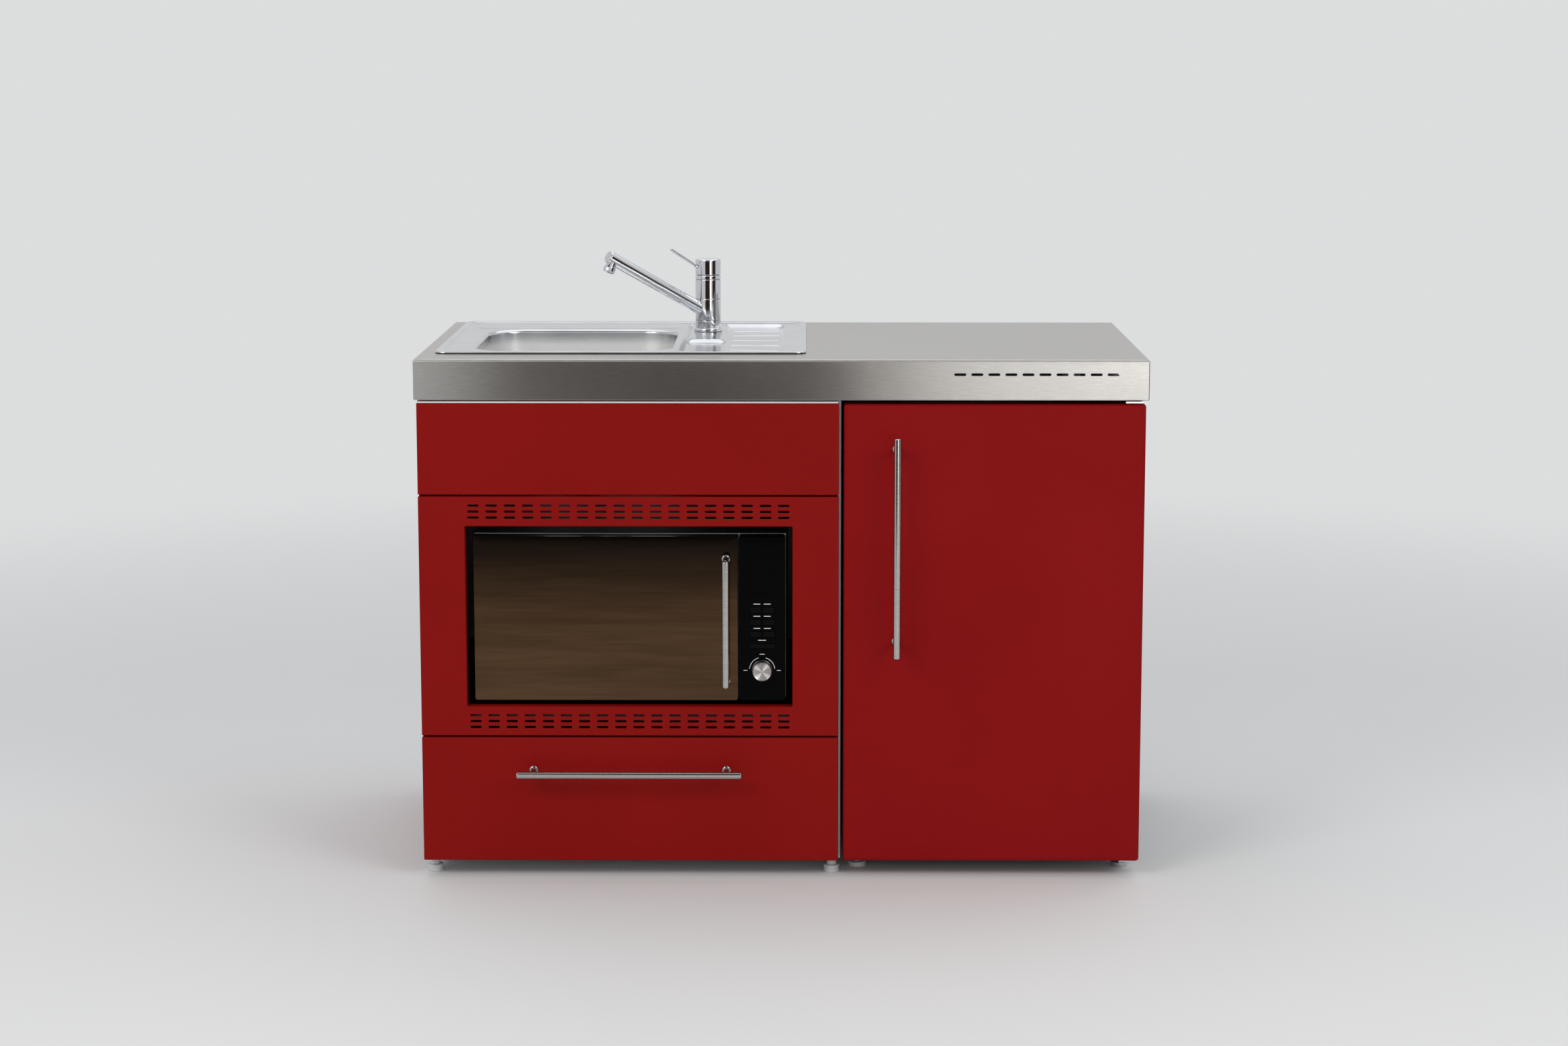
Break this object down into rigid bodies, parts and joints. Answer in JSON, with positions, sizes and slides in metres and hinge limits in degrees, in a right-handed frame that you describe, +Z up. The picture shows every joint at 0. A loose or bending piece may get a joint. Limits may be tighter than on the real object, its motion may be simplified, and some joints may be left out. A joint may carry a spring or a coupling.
{
  "type": "kitchenette unit",
  "caption": "Steel kitchenette: stainless worktop with laid-on sink and mixer tap over a cabinet with microwave oven and drawer, beside an undercounter fridge.",
  "frame": {"origin": "on the floor, under the middle of the overall box of worktop and handles", "axes": "+X to the right seen from the front, +Y to the wall behind, +Z up; the front faces -Y"},
  "size_m": [1.2, 0.6398, 1.0222],
  "materials": {
    "stainless": "brushed",
    "chrome": "polished",
    "brushed_steel": "brushed",
    "red_paint": "satin powder coat",
    "grey_paint": "satin powder coat",
    "zinc": "galvanised",
    "black_paint": "satin",
    "black_gloss": "gloss",
    "mirror_glass": "dark mirror",
    "dark_paint": "satin",
    "white_plastic": "satin",
    "grey_plastic": "matte",
    "clear_plastic": "clear",
    "glass": "clear",
    "gasket_rubber": "matte"
  },
  "bodies": {
    "cabinet": {"worktop": "stainless", "sink": "stainless", "sink_trap": "white_plastic", "tap_body": "chrome", "side_left": "red_paint", "side_right": "grey_paint", "cabinet_floor": "zinc", "microwave_shelf": "zinc", "cabinet_back": "zinc", "front_rail": "grey_paint", "foot_front_left": "grey_plastic", "foot_front_right": "grey_plastic", "foot_rear_left": "grey_plastic", "foot_rear_right": "grey_plastic", "sink_front_panel": "red_paint", "microwave_surround": "red_paint", "runner_cabinet_left": "zinc", "runner_cabinet_right": "zinc", "microwave_casing": "black_paint", "microwave_cavity": "grey_paint", "microwave_control_panel": "black_gloss", "fridge_cabinet": "dark_paint", "fridge_liner": "white_plastic", "fridge_hinge_upper": "chrome", "fridge_hinge_lower": "chrome", "shelf_lower": "glass", "shelf_upper": "glass", "compressor": "black_paint", "fridge_foot": "grey_plastic"},
    "spout": {"tap_spout": "chrome"},
    "tap_ring": {"tap_cap_ring": "chrome"},
    "tap_handle": {"tap_cap": "chrome", "tap_lever": "chrome"},
    "strainer": {"sink_strainer": "chrome"},
    "drawer": {"drawer_front": "red_paint", "drawer_box": "zinc", "drawer_handle": "brushed_steel", "runner_drawer_left": "zinc", "runner_drawer_right": "zinc"},
    "oven_door": {"microwave_door_frame": "black_gloss", "microwave_door_glass": "mirror_glass", "microwave_handle": "brushed_steel"},
    "turntable_plate": {"turntable": "glass"},
    "rollers": {"roller_ring": "white_plastic"},
    "oven_knob": {"microwave_knob": "brushed_steel"},
    "key_1": {"button_1": "black_gloss"},
    "key_2": {"button_2": "black_gloss"},
    "key_3": {"button_3": "black_gloss"},
    "key_4": {"button_4": "black_gloss"},
    "key_5": {"button_5": "black_gloss"},
    "key_6": {"button_6": "black_gloss"},
    "key_start": {"button_start": "black_gloss"},
    "fridge_door_body": {"fridge_door": "red_paint", "fridge_door_liner": "white_plastic", "door_gasket": "gasket_rubber", "fridge_handle": "brushed_steel", "rack_lower": "clear_plastic", "rack_upper": "clear_plastic"},
    "crisper_bin": {"crisper": "clear_plastic"},
    "dial": {"thermostat_dial": "white_plastic"}
  },
  "joints": [
    {"name": "spout_swivel", "type": "hinge", "parent": "cabinet", "child": "spout", "pos_m": [-0.132, 0.146, 0.911], "axis": [0, 0, 1], "range_deg": [-80, 125]},
    {"name": "tap_temperature", "type": "hinge", "parent": "cabinet", "child": "tap_ring", "pos_m": [-0.132, 0.146, 0.968], "axis": [0, 0, 1], "range_deg": [-45, 45]},
    {"name": "tap_flow", "type": "hinge", "parent": "tap_ring", "child": "tap_handle", "pos_m": [-0.132, 0.146, 0.993], "axis": [-0.5721, 0.8202, 0], "range_deg": [0, 20]},
    {"name": "strainer_lift", "type": "slide", "parent": "cabinet", "child": "strainer", "axis": [0, 0, 1], "range_m": [0, 0.06]},
    {"name": "drawer_slide", "type": "slide", "parent": "cabinet", "child": "drawer", "axis": [0, -1, 0], "range_m": [0, 0.4]},
    {"name": "oven_door_hinge", "type": "hinge", "parent": "cabinet", "child": "oven_door", "pos_m": [-0.4961, -0.246, 0.4363], "axis": [0, 0, -1], "range_deg": [0, 100]},
    {"name": "turntable_spin", "type": "hinge", "parent": "cabinet", "child": "turntable_plate", "pos_m": [-0.2911, -0.055, 0.33], "axis": [0, 0, 1], "continuous": true},
    {"name": "roller_spin", "type": "hinge", "parent": "cabinet", "child": "rollers", "pos_m": [-0.2911, -0.055, 0.3196], "axis": [0, 0, 1], "continuous": true},
    {"name": "oven_knob_turn", "type": "hinge", "parent": "cabinet", "child": "oven_knob", "pos_m": [-0.0316, -0.27, 0.35025], "axis": [0, -1, 0], "continuous": true},
    {"name": "key_1_press", "type": "slide", "parent": "cabinet", "child": "key_1", "axis": [0, 1, 0], "range_m": [0, 0.001], "stiffness_N_per_m": 300, "springref_m": -0.001},
    {"name": "key_2_press", "type": "slide", "parent": "cabinet", "child": "key_2", "axis": [0, 1, 0], "range_m": [0, 0.001], "stiffness_N_per_m": 300, "springref_m": -0.001},
    {"name": "key_3_press", "type": "slide", "parent": "cabinet", "child": "key_3", "axis": [0, 1, 0], "range_m": [0, 0.001], "stiffness_N_per_m": 300, "springref_m": -0.001},
    {"name": "key_4_press", "type": "slide", "parent": "cabinet", "child": "key_4", "axis": [0, 1, 0], "range_m": [0, 0.001], "stiffness_N_per_m": 300, "springref_m": -0.001},
    {"name": "key_5_press", "type": "slide", "parent": "cabinet", "child": "key_5", "axis": [0, 1, 0], "range_m": [0, 0.001], "stiffness_N_per_m": 300, "springref_m": -0.001},
    {"name": "key_6_press", "type": "slide", "parent": "cabinet", "child": "key_6", "axis": [0, 1, 0], "range_m": [0, 0.001], "stiffness_N_per_m": 300, "springref_m": -0.001},
    {"name": "key_start_press", "type": "slide", "parent": "cabinet", "child": "key_start", "axis": [0, 1, 0], "range_m": [0, 0.001], "stiffness_N_per_m": 300, "springref_m": -0.001},
    {"name": "fridge_door_hinge", "type": "hinge", "parent": "cabinet", "child": "fridge_door_body", "pos_m": [0.5797, -0.256, 0.4123], "axis": [0, 0, 1], "range_deg": [0, 110]},
    {"name": "crisper_slide", "type": "slide", "parent": "cabinet", "child": "crisper_bin", "axis": [0, -1, 0], "range_m": [0, 0.06]},
    {"name": "thermostat_turn", "type": "hinge", "parent": "cabinet", "child": "dial", "pos_m": [0.5592, -0.076, 0.6684], "axis": [-1, 0, 0], "range_deg": [0, 270]}
  ],
  "couplings": [
    {"joint": "roller_spin", "follows": "turntable_spin", "ratio": 0.5}
  ]
}
